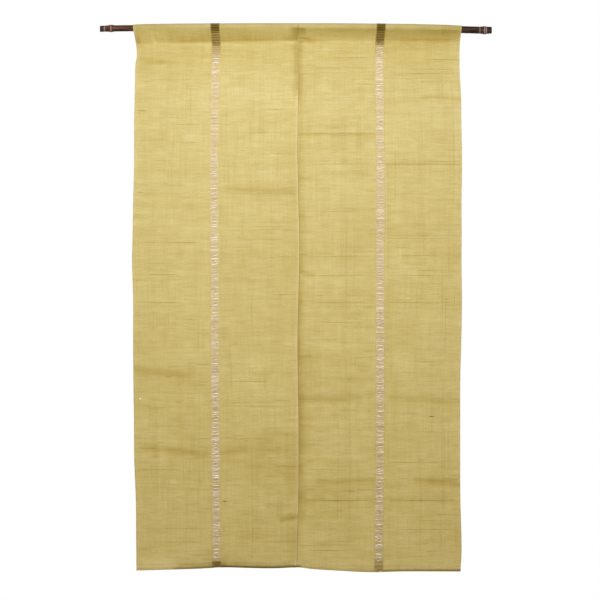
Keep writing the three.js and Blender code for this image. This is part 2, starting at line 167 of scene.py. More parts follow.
# Folds, rounded swells: out, drop, width, height, and how far forward, or back where it is negative.
# Creases, soft troughs or ridges: out and drop of both ends, width, and how far forward.
# Bands, stretches of weft that are darker or lighter, and painted shade and painted light at creases, in the
# pocket, beside the slit and along the hem: out, drop, width, height and tone.
# Slubs, thick places of one weft thread: out, drop, length and tone.
# Warps, single warp threads that stand out: out and tone.
# Ladder: how far the threads open down the ladder, and how far apart the gaps stand.
# The ladder's painted shade darkens its threads in the pocket and the hem, and runs on over the cane, where
# the drop along the cloth is below nought.
LEFT = dict(
    side=-1,
    layers_meet_at=33,
    folds=[
        (440, 75, 60, 45, 3), (330, 420, 90, 260, 3.5), (120, 620, 70, 330, 3), (440, 700, 45, 200, -3),
        (230, 980, 80, 300, -3.5), (360, 1250, 80, 260, 5), (110, 1330, 60, 220, 4.5),
        (215, 1490, 110, 26, -8), (430, 1470, 50, 90, 4),
    ],
    creases=[
        (6, 3, 26, 5, 2.6, -1.3), (4, 12, 30, 13, 4, 0.8), (5, 22, 24, 21, 3, -1.0),
        (20, 27, 120, 33, 4, -0.7), (130, 31, 210, 36, 4, -0.8), (240, 33, 330, 38, 5, -0.7),
        (300, 14, 308, 34, 5, 0.7), (345, 10, 352, 36, 6, -0.7), (405, 12, 398, 40, 5, 0.8),
        (430, 8, 440, 38, 4, -0.6), (10, 1120, 95, 1105, 9, -1.1), (4, 1342, 42, 1350, 7, -1.6),
        (150, 1158, 215, 1168, 9, -1.0), (255, 1170, 420, 1152, 11, -1.1), (300, 958, 445, 940, 12, -0.9),
        (20, 452, 190, 440, 12, -0.9), (200, 1468, 330, 1476, 5, -1.4), (20, 1474, 190, 1471, 4, -1.0),
        (330, 98, 440, 90, 6, -0.8),
    ],
    bands=[
        (340, 95, 88, 5, -0.04), (378, 93, 8, 8, -0.05), (175, 173, 33, 4, 0.03), (112, 187, 96, 22, 0.03),
        (337, 236, 58, 4, -0.03), (388, 302, 34, 14, -0.03), (426, 422, 18, 11, 0.04),
        (351, 391, 93, 8, -0.04), (93, 409, 96, 19, 0.03), (93, 447, 96, 14, -0.025),
        (196, 836, 62, 4, -0.04), (121, 855, 68, 8, 0.03), (351, 943, 93, 11, -0.04),
        (100, 946, 103, 8, -0.04), (344, 965, 100, 19, -0.03), (341, 1009, 103, 7, 0.03),
        (344, 1088, 51, 8, -0.03), (321, 1159, 82, 11, -0.05), (166, 1157, 37, 11, -0.05),
        (52, 1143, 55, 19, -0.05), (360, 1263, 62, 8, -0.04), (179, 1269, 23, 14, 0.03),
        (26, 1346, 26, 10, -0.08), (111, 1387, 37, 11, -0.04), (392, 1461, 44, 11, 0.04),
        (248, 1433, 10, 5, -0.08), (7, 2, 11, 3, -0.18), (0, 2, 3.5, 4, -0.16), (14, 20, 18, 3, -0.06),
        (28, 39, 24, 5, 0.12), (110, 283, 95, 40, 0.03), (14, 33, 20, 3, -0.1), (8, 52, 14, 6, -0.06),
        (20, 1235, 18, 70, -0.07), (22, 660, 26, 70, -0.045), (22, 350, 26, 170, -0.025),
        (12, 1420, 20, 60, -0.07), (350, 1475, 95, 60, 0.07), (224, 1478, 26, 6, -0.15),
        (130, 33, 125, 4, -0.09), (350, 150, 95, 60, -0.03), (350, 913, 95, 30, 0.04),
        (110, 1214, 95, 30, -0.05), (295, 24, 60, 12, -0.09), (446, 36, 9, 12, -0.16),
        (420, 51, 12, 4, 0.09), (208, 1474, 9, 7, -0.22), (390, 1468, 50, 14, 0.04),
    ],
    slubs=[
        (307, 266, 82, -0.15), (296, 315, 60, -0.15), (58, 224, 82, -0.15), (107, 289, 181, -0.15),
        (40, 346, 68, -0.15), (432, 452, 19, -0.18), (70, 546, 125, -0.12), (314, 589, 96, -0.15),
        (367, 677, 82, -0.18), (385, 754, 118, -0.15), (134, 970, 110, -0.15), (90, 981, 160, 0.12),
        (132, 1028, 159, -0.15), (385, 1211, 118, -0.12), (35, 1203, 63, -0.15), (204, 1299, 14, -0.6),
        (429, 228, 25, -0.18),
    ],
    warps=[
        (392, 0.14), (356, 0.14), (126, 0.1),
    ],
    ladder=table(
        "drop opening pitch",
        (50, 0.05, 8), (76, 0.1, 6), (82, 1.5, 7), (140, 1.3, 8), (155, 0.45, 9), (330, 0.6, 9),
        (380, 0.9, 9), (425, 0.5, 8), (450, 1.1, 7), (520, 0.6, 7), (545, 1.2, 8), (790, 1.2, 9),
        (820, 0.6, 9), (890, 1.0, 9), (1050, 0.8, 8), (1200, 1.1, 8), (1330, 0.9, 9), (1450, 0.8, 9),
        (1466, 0.1, 6),
    ),
    ladder_tones=table(
        "drop tone",
        (-70, 0.5), (-30, 0.34), (4, 0.22), (14, 0.46), (42, 0.42), (50, 0.68), (76, 0.8), (88, 0.93),
        (120, 1.0), (1400, 0.95), (1460, 0.9), (1466, 0.46), (1600, 0.46),
    ),
    speck=dict(out=432, drop=1016),
)
RIGHT = dict(
    side=1,
    layers_meet_at=24,
    folds=[
        (150, 330, 80, 220, 3.5), (400, 300, 70, 200, -3), (330, 640, 90, 300, 3.5),
        (120, 900, 70, 280, 3), (440, 980, 60, 160, -5), (250, 1180, 90, 260, -4), (140, 1460, 70, 150, 6),
        (380, 1440, 80, 200, 5),
    ],
    creases=[
        (5, 3, 20, 3, 2.6, -1.3), (5, 13, 60, 12, 3, 0.8), (5, 24, 34, 33, 5, -0.7),
        (10, 18, 445, 12, 5, -1.1), (240, 26, 440, 30, 5, -0.7), (397, 2, 396, 20, 3, 0.9),
        (403, 4, 404, 16, 2.6, -0.8), (350, 190, 448, 196, 5, -0.9), (10, 291, 215, 294, 5, -0.9),
        (245, 376, 445, 372, 5, -0.9), (10, 1016, 170, 1020, 10, -1.1), (260, 1018, 445, 1024, 9, -1.0),
        (330, 1240, 446, 1250, 9, -1.3), (60, 1244, 215, 1242, 8, -0.8), (20, 1296, 440, 1297, 4, -0.7),
        (8, 668, 40, 676, 6, -1.4), (6, 905, 34, 898, 6, -1.2),
    ],
    bands=[
        (8, 1, 13, 3, -0.26), (0, 2, 3.5, 4, -0.12), (14, 28, 18, 3.5, -0.16), (7, 38, 11, 4, -0.1),
        (8, 60, 12, 5, -0.06), (240, 9, 238, 6, -0.21), (424, 13, 18, 6, -0.15), (127, 37, 78, 4, 0.1),
        (34, 36, 18, 6, -0.1), (345, 85, 98, 45, -0.04), (345, 38, 95, 12, -0.07),
        (340, 33, 90, 2.5, -0.08), (397, 10, 3, 12, -0.12), (108, 236, 86, 5, 0.04),
        (45, 313, 23, 8, 0.03), (115, 269, 99, 5, -0.03), (392, 189, 55, 4, -0.06),
        (378, 148, 68, 4, -0.035), (403, 219, 44, 4, -0.04), (403, 296, 44, 8, -0.03),
        (407, 351, 40, 4, -0.03), (140, 398, 68, 5, -0.04), (270, 504, 21, 4, -0.05),
        (351, 647, 96, 4, -0.05), (379, 641, 7, 5, -0.08), (126, 872, 68, 4, 0.03),
        (400, 918, 41, 5, -0.04), (78, 904, 48, 5, -0.03), (119, 989, 89, 8, 0.04),
        (92, 1017, 62, 10, -0.02), (90, 1275, 85, 32, -0.06), (90, 912, 85, 24, -0.05),
        (90, 830, 85, 20, -0.04), (393, 1110, 48, 8, -0.03), (119, 1176, 89, 7, 0.04),
        (177, 1244, 92, 8, -0.04), (382, 1244, 59, 10, -0.06), (347, 1337, 23, 8, -0.04),
        (355, 1406, 32, 7, -0.04), (115, 1351, 16, 5, 0.03), (6, 645, 9, 26, -0.05), (5, 880, 7, 20, -0.1),
        (22, 1100, 18, 60, -0.08), (22, 940, 14, 90, -0.04), (7, 1215, 7, 12, -0.07),
        (6, 1290, 8, 12, -0.08),
    ],
    slubs=[
        (115, 291, 197, -0.21), (115, 282, 197, 0.15), (155, 82, 118, -0.18), (403, 88, 88, -0.18),
        (378, 115, 137, -0.18), (364, 126, 164, -0.15), (110, 111, 200, -0.18), (186, 156, 50, -0.18),
        (119, 375, 151, -0.21), (345, 375, 203, -0.21), (345, 570, 203, -0.12), (112, 628, 164, -0.18),
        (332, 625, 110, -0.18), (108, 680, 190, -0.15), (340, 680, 180, -0.15), (119, 754, 151, -0.18),
        (338, 754, 186, -0.18), (126, 809, 137, -0.15), (325, 1192, 151, -0.15), (112, 1296, 190, -0.21),
        (340, 1296, 180, -0.21), (359, 1376, 164, -0.18), (85, 1433, 110, -0.21), (97, 61, 151, 0.18),
        (278, 61, 70, 0.15), (371, 1066, 14, -0.66),
    ],
    warps=[
        (132, 0.1), (293, 0.12), (396, 0.2),
    ],
    ladder=table(
        "drop opening pitch",
        (44, 0.05, 8), (56, 0.5, 8), (100, 1.4, 8), (175, 1.2, 9), (215, 0.8, 7), (290, 1.2, 7),
        (330, 0.7, 8), (370, 1.4, 8), (420, 1.2, 8), (450, 0.4, 9), (500, 0.9, 8), (540, 1.0, 8),
        (600, 0.5, 10), (655, 0.8, 8), (700, 1.1, 7), (830, 1.0, 8), (850, 0.5, 9), (890, 1.2, 7),
        (930, 0.5, 10), (1050, 0.9, 8), (1250, 0.9, 7), (1300, 0.7, 8), (1450, 0.8, 7), (1466, 0.1, 6),
    ),
    ladder_tones=table(
        "drop tone",
        (-70, 0.5), (-30, 0.34), (4, 0.2), (14, 0.33), (42, 0.36), (50, 0.78), (76, 0.9), (88, 1.0),
        (1400, 0.93), (1460, 0.88), (1466, 0.66), (1600, 0.66),
    ),
    speck=None,
)
PANELS = dict(left=LEFT, right=RIGHT)

# The picture: 600 pixels across take in this much of the curtain, seen square on
PICTURE_WIDTH = 1644
CAMERA_ACROSS = 6.85
CAMERA_DROP = 746.9
LENS = 135
SENSOR = 36
FLOOR_DROP = 1950
FLOOR_REACH = 2400


def curve(rows, along, column):
    """Reads one column of a table at any place, rounded between its rows, as the solids' tables are read."""
    places = np.array([row[along] for row in rows], float)
    values = np.array([row[column] for row in rows], float)
    secants = np.diff(values) / np.diff(places)
    slopes = np.concatenate([secants[:1], (secants[:-1] + secants[1:]) / 2, secants[-1:]])

    def at(place):
        place = np.clip(place, places[0], places[-1])
        i = np.clip(np.searchsorted(places, place, side="right") - 1, 0, len(places) - 2)
        step = places[i + 1] - places[i]
        t = (place - places[i]) / step
        t2 = t * t
        t3 = t2 * t
        return (
            (2 * t3 - 3 * t2 + 1) * values[i]
            + (t3 - 2 * t2 + t) * step * slopes[i]
            + (3 * t2 - 2 * t3) * values[i + 1]
            + (t3 - t2) * step * slopes[i + 1]
        )

    return at


def straight(rows, along, column):
    """Reads one column of a table at any place, straight between its rows."""
    places = [row[along] for row in rows]
    values = [row[column] for row in rows]
    return lambda place: np.interp(place, places, values)


def bell(offset, reach):
    return np.exp(-((offset / reach) ** 2))


def plateau(offset, reach):
    """A bell with a flat top and soft shoulders."""
    return np.exp(-((offset / reach) ** 4))


def smoothstep(value, low, high):
    t = np.clip((value - low) / (high - low), 0, 1)
    return t * t * (3 - 2 * t)


rod_height = straight(ROD, "across", "height")
rod_radius = straight(ROD, "across", "radius")
pocket_edge = curve(POCKET_EDGE, "across", "drop")
lower_edge = curve(LOWER_EDGE, "across", "drop")
slit_shift = curve(LINES, "drop", "slit")
lap = straight(SLIT, "drop", "lap")
lip = curve(SLIT, "drop", "lip")
set_back = curve(SLIT, "drop", "set_back")
sink = curve(SLIT, "drop", "sink")


# The stretch of cloth that the random values cover, and where it starts
FIELD_SPAN = (600, 1700)
FIELD_START = (-40, -100)


class Field:
    """Soft random values over a panel, about one swell for each stretch of the given width and height."""

    def __init__(self, seed, wide, tall):
        self.wide = wide
        self.tall = tall
        size = (int(FIELD_SPAN[0] / wide) + 4, int(FIELD_SPAN[1] / tall) + 4)
        self.values = np.random.default_rng(seed).normal(size=size)

    def __call__(self, out, drop):
        u = (np.asarray(out, float) - FIELD_START[0]) / self.wide
        v = (np.asarray(drop, float) - FIELD_START[1]) / self.tall
        u, v = np.broadcast_arrays(u, v)
        i = np.clip(u.astype(int), 0, self.values.shape[0] - 2)
        j = np.clip(v.astype(int), 0, self.values.shape[1] - 2)
        s = smoothstep(u - i, 0, 1)
        t = smoothstep(v - j, 0, 1)
        low = self.values[i, j] * (1 - s) + self.values[i + 1, j] * s
        high = self.values[i, j + 1] * (1 - s) + self.values[i + 1, j + 1] * s
        return low * (1 - t) + high * t


# The cloth's small unevenness: the width and height of the swells, and how much they change.
# The first three stand out, the next four change the tone, and the last moves the creases up and down.
FIELDS = (
    (90, 7, 0.10), (160, 45, 0.45), (9, 130, 0.06),
    (110, 5, 0.018), (150, 60, 0.016), (24, 14, 0.017), (14, 230, 0.010),
    (35, 60, 1.6),
)

# Tone over the whole cloth: mostly painted shade and painted light, besides a lighter outer edge and a darker
# stretch below the pocket
# Painted shade: the cloth darker towards the lower edge
PAINTED_SHADE_DOWN = 0.115
EDGE_TONE = 0.03
EDGE_REACH = 7
TOP_TONE = 0.07
TOP_TONE_DROP = 40
TOP_TONE_REACH = 75
# Painted shade over the pocket, where the cloth lies double round the cane
POCKET_SHADE = 0.05
POCKET_SHADE_ENDS = (38, 44)
SLIT_SHADES = table(
    "drop shade",
    (95, 0.0), (195, 0.12), (290, 0.11), (470, 0.16), (600, 0.13), (680, 0.12), (770, 0.26),
    (830, 0.22), (900, 0.15), (1020, 0.2), (1130, 0.21), (1180, 0.15), (1300, 0.16), (1345, 0.08),
    (1400, 0.07), (1460, 0.0),
)
SLIT_SHADE_REACH = 15
# Painted light on the right panel's turned-back slit hem, lifting the shade of its double layer
TURNED_HEM_LIGHT = 0.16
# Painted highlight along the left panel's folded edge at the slit
LIP_HIGHLIGHT = 0.22
LIP_REACH = 4.6
SEAM_SHADE = 0.08
SEAM_SHADE_REACH = 15
SEAM_DOTS = 0.13
HEM_LIGHT = 0.13
EDGE_SHADE_REACH = 8.5
EDGE_SHADE_FULL = 3.5
EDGE_SHADES = table(
    "across shade",
    (-441, 0.1), (-350, 0.12), (-325, 0.45), (-235, 0.5), (-195, 0.72), (2, 0.66), (12, 0.15),
    (200, 0.12), (230, 0.4), (445, 0.5),
)
# Painted shade in the creases' troughs and painted light on their ridges
CREASE_SHADE_AND_LIGHT = 0.09
TOP_LIGHT = 0.18
TOP_LIGHT_DROP = -16
TOP_LIGHT_REACH = 9

# Where the creases fade on their way over the cane, as an angle from the viewer's side
ARC_RELIEF_ENDS = (0.6, 1.4)

edge_shade = straight(EDGE_SHADES, "across", "shade")
slit_shade = straight(SLIT_SHADES, "drop", "shade")


class Panel:
    """One panel's lines, depths, tone and path over the rod."""

    def __init__(self, name, seed, words):
        self.name = name
        self.seed = seed
        for key, value in words.items():
            setattr(self, key, value)
        self.outer_shift = curve(LINES, "drop", "outer_" + name)
        self.ladder_shift = curve(LINES, "drop", "ladder_" + name)
        fields = [(Field(seed * 100 + i, wide, tall), by) for i, (wide, tall, by) in enumerate(FIELDS)]
        self.relief_fields = fields[:3]
        self.tone_fields = fields[3:7]
        self.wander, self.wander_by = fields[7]

    def lower(self, out):
        """The drop of the lower edge at a distance out."""
        return lower_edge(self.across(out, FOOT))

    def across(self, out, drop):
        behind = -lap(drop) if self.side > 0 else 0
        at_slit = slit_shift(drop) + behind
        at_ladder = self.ladder_shift(drop)
        inner = at_slit + (at_ladder - at_slit) * out / LADDER_ACROSS
        beyond = (out - LADDER_ACROSS) / (PANEL_WIDTH - LADDER_ACROSS)
        outer = at_ladder + (self.outer_shift(drop) - at_ladder) * beyond
        return self.side * out + np.where(out < LADDER_ACROSS, inner, outer)

    def depth(self, out, drop):
        if self.side > 0:
            at_slit = set_back(drop) * bell(out, SET_BACK_WIDTH)
        else:
            at_slit = -lip(drop) * bell(out, LIP_WIDTH)
        total = sink(drop) * bell(out, SINK_WIDTH) + at_slit
        for out_at, drop_at, wide, tall, forward in self.folds:
            total = total - forward * (bell(out - out_at, wide) * bell(drop - drop_at, tall))
        return total * smoothstep(drop, FOLDS_START, FOLDS_FULL)

    def relief(self, out, drop):
        """How far the cloth's creases and small swells stand towards the viewer."""
        return self.creased(out, drop) + sum(field(out, drop) * by for field, by in self.relief_fields)

    def creased(self, out, drop):
        total = 0
        drop = drop + self.wander(out, 0) * self.wander_by * smoothstep(drop, 40, 100)
        for out_at, drop_at, to_out, to_drop, wide, forward in self.creases:
            run = to_out - out_at
            fall = to_drop - drop_at
            t = np.clip(((out - out_at) * run + (drop - drop_at) * fall) / (run * run + fall * fall), 0, 1)
            away = np.hypot(out - out_at - t * run, drop - drop_at - t * fall)
            total = total + forward * bell(away, wide)
        return total

    def front(self, out, drop):
        """The depth of the front layer's middle."""
        return self.depth(out, drop) - HALF - self.relief(out, drop)

    def tone(self, out, drop):
        """How light the cloth is at a place, near 1: its own tone, with painted shade and painted light. The
        drop is measured along the cloth.
        """
        # painted shade, darker downwards
        total = 1 - PAINTED_SHADE_DOWN * np.clip(drop, 0, None) / FOOT
        total = total + sum(field(out, drop) * by for field, by in self.tone_fields)
        # the weft's darker and lighter stretches, with painted shade and light at creases, the pocket, the
        # slit and the hem
        for out_at, drop_at, wide, tall, tone in self.bands:
            total = total + tone * (plateau(out - out_at, wide) * bell(drop - drop_at, tall))
        total = total + EDGE_TONE * bell(out - PANEL_WIDTH, EDGE_REACH)
        total = total - TOP_TONE * bell(drop - TOP_TONE_DROP, TOP_TONE_REACH)
        # painted shade in crease troughs, painted light on their ridges
        total = total + CREASE_SHADE_AND_LIGHT * self.creased(out, drop)
        lower = self.lower(out)
        total = total + HEM_LIGHT * smoothstep(drop, lower - HEM_DEPTH - 3, lower - HEM_DEPTH + 1)
        # painted shade in the pocket
        total = total - POCKET_SHADE * (1 - smoothstep(drop, *POCKET_SHADE_ENDS))
        total = total + TOP_LIGHT * bell(drop - TOP_LIGHT_DROP, TOP_LIGHT_REACH)
        if self.side > 0:
            total = total - slit_shade(drop) * bell(out, SLIT_SHADE_REACH)
            # painted light on the turned-back hem
            total = total + TURNED_HEM_LIGHT * plateau(out, SLIT_HEM) * smoothstep(drop, 185, 215)
        else:
            # painted highlight on the lip
            total = total + LIP_HIGHLIGHT * bell(out, LIP_REACH) * smoothstep(drop, 150, 200)
        dots = np.sin(drop * 0.83 + out * 0.9) * np.sin(drop * 0.37 - out * 0.8 + self.side)
        in_seam = bell(out, SEAM_SHADE_REACH) * (1 - smoothstep(drop, 165, 195)) * smoothstep(drop, -4, 4)
        total = total - (SEAM_SHADE - SEAM_DOTS * dots) * in_seam
        into_edge = smoothstep(drop, lower - EDGE_SHADE_REACH, lower - EDGE_SHADE_FULL)
        return total * (1 - edge_shade(self.across(out, FOOT)) * into_edge)

    def path(self, out):
        """The column at one distance out, from the top of the hem's back down, up the front and over the rod.

        Gives each row's depth, drop, length from the start and drop along the cloth."""
        at_top = self.across(out, 0)
        axis = rod_height(at_top)
        into = smoothstep(PANEL_WIDTH - out, 0, MOUTH_LENGTH)
        inside = rod_radius(at_top) + SLACK_AT_MOUTH + (SLACK_INSIDE - SLACK_AT_MOUTH) * into
        tangent = math.asin(inside / self.layers_meet_at)
        meet = self.layers_meet_at - axis
        lower = self.lower(out)
        radius = inside + HALF

        hem = np.linspace(lower - HEM_DEPTH, lower - HALF, HEM_ROWS)
        turn = np.linspace(0, math.pi, FOLD_ROWS + 2)[1:-1]
        front = np.r_[
            np.linspace(lower - HALF, meet + TOP_REACH, FRONT_ROWS),
            np.linspace(meet + TOP_REACH, meet, TOP_ROWS)[1:],
        ]
        arc = np.linspace(-tangent, math.pi + tangent, ARC_ROWS)
        back = np.linspace(meet, pocket_edge(at_top), BACK_ROWS)
        arc_relief = self.relief(out, -(axis + radius * np.sin(arc)))
        on_arc = radius + arc_relief * (1 - smoothstep(arc, *ARC_RELIEF_ENDS))
        at_foot = np.full_like(turn, lower)
        depths = np.r_[
            self.depth(out, hem) + HALF - self.relief(out, hem),
            self.depth(out, at_foot) + HALF * np.cos(turn) - self.relief(out, at_foot),
            self.front(out, front),
            -on_arc * np.cos(arc),
            HALF - self.relief(out, back),
        ]
        drops = np.r_[hem, lower - HALF + HALF * np.sin(turn), front, -(axis + on_arc * np.sin(arc)), back]
        along = np.r_[0, np.cumsum(np.hypot(np.diff(depths), np.diff(drops)))]
        cloth_drops = drops[HEM_BOTTOM] - (along - along[HEM_BOTTOM])
        cloth_drops[:HEM_BOTTOM] = drops[:HEM_BOTTOM]
        return depths, drops, along, cloth_drops

    def place(self, out, depths, drops):
        """Points in space from a distance out, depths and drops."""
        across = self.across(out, np.clip(drops, LINES[0]["drop"], None))
        return np.stack(np.broadcast_arrays(across, depths, -np.asarray(drops, float)), axis=-1)

    def on_front(self, out, drops, behind=0.0):
        """Points in the middle of the front layer, or behind it."""
        return self.place(out, self.front(out, drops) + behind, drops)


def store(mesh, name, kind, values):
    attribute = mesh.attributes.new(name, kind, "POINT")
    field = "vector" if kind == "FLOAT_VECTOR" else "value"
    attribute.data.foreach_set(field, np.asarray(values, np.float32).ravel())


def make_mesh(name, points, faces, material, tones=None):
    """A new object from points in millimetres."""
    mesh = bpy.data.meshes.new(name)
    mesh.from_pydata((np.asarray(points, float) * MM).tolist(), [], np.asarray(faces).tolist())
    mesh.polygons.foreach_set("use_smooth", [True] * len(mesh.polygons))
    mesh.materials.append(material)
    mesh.update()
    if tones is not None:
        store(mesh, "tone", "FLOAT", tones)
    made = bpy.data.objects.new(name, mesh)
    bpy.context.collection.objects.link(made)
    return made


def grid_faces(index):
    """Quads between neighbouring points of a grid of point numbers."""
    quads = [index[:-1, :-1], index[:-1, 1:], index[1:, 1:], index[1:, :-1]]
    return np.stack(quads, axis=-1).reshape(-1, 4)


def columns_of():
    """Distances out at which a sheet has its columns: those up to the ladder, and those beyond it."""
    near = LADDER_ACROSS - LADDER_EDGE
    far = LADDER_ACROSS + LADDER_EDGE
    by_slit = np.arange(FINE_COLUMN, FINE_REACH, FINE_COLUMN)
    by_edge = np.arange(PANEL_WIDTH - FINE_EDGE, PANEL_WIDTH + 0.1, FINE_COLUMN)
    inner = np.r_[SEAM_EDGE, by_slit, np.arange(FINE_REACH, near - FINE_COLUMN, COLUMN), near]
    outer = np.r_[far, np.arange(far + COLUMN, PANEL_WIDTH - FINE_EDGE, COLUMN), by_edge]
    return inner, outer


# The cloth turned back at the slit: shares of its width where its columns stand, and how far behind it lies
TURNED_SHARES = (0.12, 0.4, 0.7, 1.0)
TURNED_BEHIND = 0.5
TURNED_LIFT = 0.7
TURNING_NARROWS = 16
SPECK_RADIUS = 1.4


def flat_places(out, drops):
    """Places on the cloth laid flat, which its weave follows."""
    return np.stack([np.full_like(drops, out), drops, np.zeros_like(drops)], axis=1)


def sheet_of(panel, material):
    points = []
    flat = []
    tones = []
    faces = []
    count = 0
    first_column = None
    for outs in columns_of():
        for out in outs:
            depths, drops, _, cloth_drops = panel.path(out)
            points.append(panel.place(out, depths, drops))
            flat.append(flat_places(panel.side * out, cloth_drops))
            tones.append(panel.tone(out, cloth_drops))
        rows = len(points[0])
        index = (count + np.arange(len(outs) * rows)).reshape(len(outs), rows)
        if first_column is None:
            first_column = index[0]
        quads = grid_faces(index)
        if panel.speck is not None:
            middles = np.concatenate(flat)[quads].mean(axis=1)
            away = np.hypot(abs(middles[:, 0]) - panel.speck["out"], middles[:, 1] - panel.speck["drop"])
            quads = quads[away > SPECK_RADIUS]
        faces.append(quads)
        count += len(outs) * rows

    front = slice(HEM_ROWS + FOLD_ROWS, HEM_ROWS + FOLD_ROWS + FRONT_ROWS + TOP_ROWS - 1)
    _, drops, _, cloth_drops = panel.path(SEAM_EDGE)
    keep = np.flatnonzero(drops[front] > pocket_edge(0) + 1) + front.start
    drops = drops[keep]
    cloth_drops = cloth_drops[keep]
    hem_top = drops.max() - HEM_DEPTH
    narrowed = smoothstep(drops, SEAM_DROP, SEAM_DROP + TURNING_NARROWS)
    reach = SLIT_HEM + (SEAM_TURNING - SLIT_HEM) * (1 - narrowed)
    above_hem = 1 - smoothstep(drops, hem_top - 6, hem_top - 1)
    behind = TURNED_BEHIND * above_hem
    uneven = 0.6 + 0.4 * np.sin(drops / 23) * np.sin(drops / 61)
    strip = [panel.on_front(0.0, drops, (HALF + behind) / 2)]
    flat.append(flat_places(0.0, cloth_drops))
    for share in TURNED_SHARES:
        lift = TURNED_LIFT * share**2 * above_hem * uneven
        strip.append(panel.on_front(reach * share, drops, HALF + behind + lift))
        flat.append(flat_places(-panel.side * reach * share, cloth_drops))
    index = count + np.arange(len(strip) * len(drops)).reshape(len(strip), -1)
    faces.append(grid_faces(np.vstack([first_column[keep], index])))
    points += strip
    tones += [panel.tone(0.0, cloth_drops)] * len(strip)

    name = "cloth_" + panel.name
    made = make_mesh(name, np.concatenate(points), np.concatenate(faces), material, np.concatenate(tones))
    store(made.data, "flat", "FLOAT_VECTOR", np.concatenate(flat) * MM)
    return made


class Strands:
    """Many fine tubes gathered into one mesh."""

    def __init__(self):
        self.points = []
        self.faces = []
        self.tones = []
        self.count = 0

    def add(self, lines, wide, thick, tones, hint=(0, 0, 1), sides=4):
        """Adds a tube along each line of points, wide along the hint and thick across it.

        lines has the shape (tubes, steps, 3); the others are spread over (tubes, steps)."""
        count, steps, _ = lines.shape
        wide, thick, tones = (np.broadcast_to(v, (count, steps)) for v in (wide, thick, tones))
        tangent = np.gradient(lines, axis=1)
        tangent /= np.linalg.norm(tangent, axis=2, keepdims=True)
        normal = np.cross(tangent, np.array(hint, float))
        normal /= np.linalg.norm(normal, axis=2, keepdims=True)
        side = np.cross(normal, tangent)
        angles = (np.arange(sides) + 0.5) * 2 * math.pi / sides
        around = np.cos(angles)[:, None] * normal[:, :, None, :] * thick[:, :, None, None] / 2
        around = around + np.sin(angles)[:, None] * side[:, :, None, :] * wide[:, :, None, None] / 2
        self.points.append((lines[:, :, None, :] + around).reshape(-1, 3))
        self.tones.append(np.repeat(tones.reshape(-1), sides))
        index = self.count + np.arange(count * steps * sides).reshape(count, steps, sides)
        turned = np.roll(index, -1, axis=2)
        quads = np.stack([index[:, :-1], turned[:, :-1], turned[:, 1:], index[:, 1:]], axis=-1)
        self.faces.append(quads.reshape(-1, 4))
        self.count += count * steps * sides

    def make(self, name, material):
        points, faces, tones = (np.concatenate(parts) for parts in (self.points, self.faces, self.tones))
        return make_mesh(name, points, faces, material, tones)


# The ladders' threads: the weft that crosses each stripe without a warp
THREAD_PITCH = 0.8
THREAD_WIDE = (1.0, 1.5)
THREAD_THICK = 0.5
THREAD_STRAY = 0.1
THREAD_TONE_SPREAD = 0.07
THREAD_STEPS = 9
THREAD_OVERLAP = 1.0
THREAD_LIFT = 0.3
GAP_OPENING = 2.0
GAP_PITCH = 1.2
GAP_HOLD = 2.4
GAP_NEAR = 14
GAP_CENTRES = (0.42, 0.58)
GAP_HALVES = (0.28, 0.42)
GAP_SIZES = (0.25, 1.3)
GAP_SPACES = (0.5, 1.4)
GAP_LEAN = 1.7
GAP_ARCH = 1.0
ARCH = 0.5
LEAN = 0.5
WANDER_PITCH = 9.0
CROSSING_SHARE = 0.05
CROSSING_LEAN = (1.5, 4.5)
FIBRE_SHARE = 0.6
FIBRE_WIDE = 0.5
FIBRE_TONE = 1.1
FIBRE_OPENED = 0.45
FIBRE_LEAN = 1.6
POCKET_STRIPES = 0.28
POCKET_STRIPES_END = (42, 50)
FOOT_GAP = 1.2


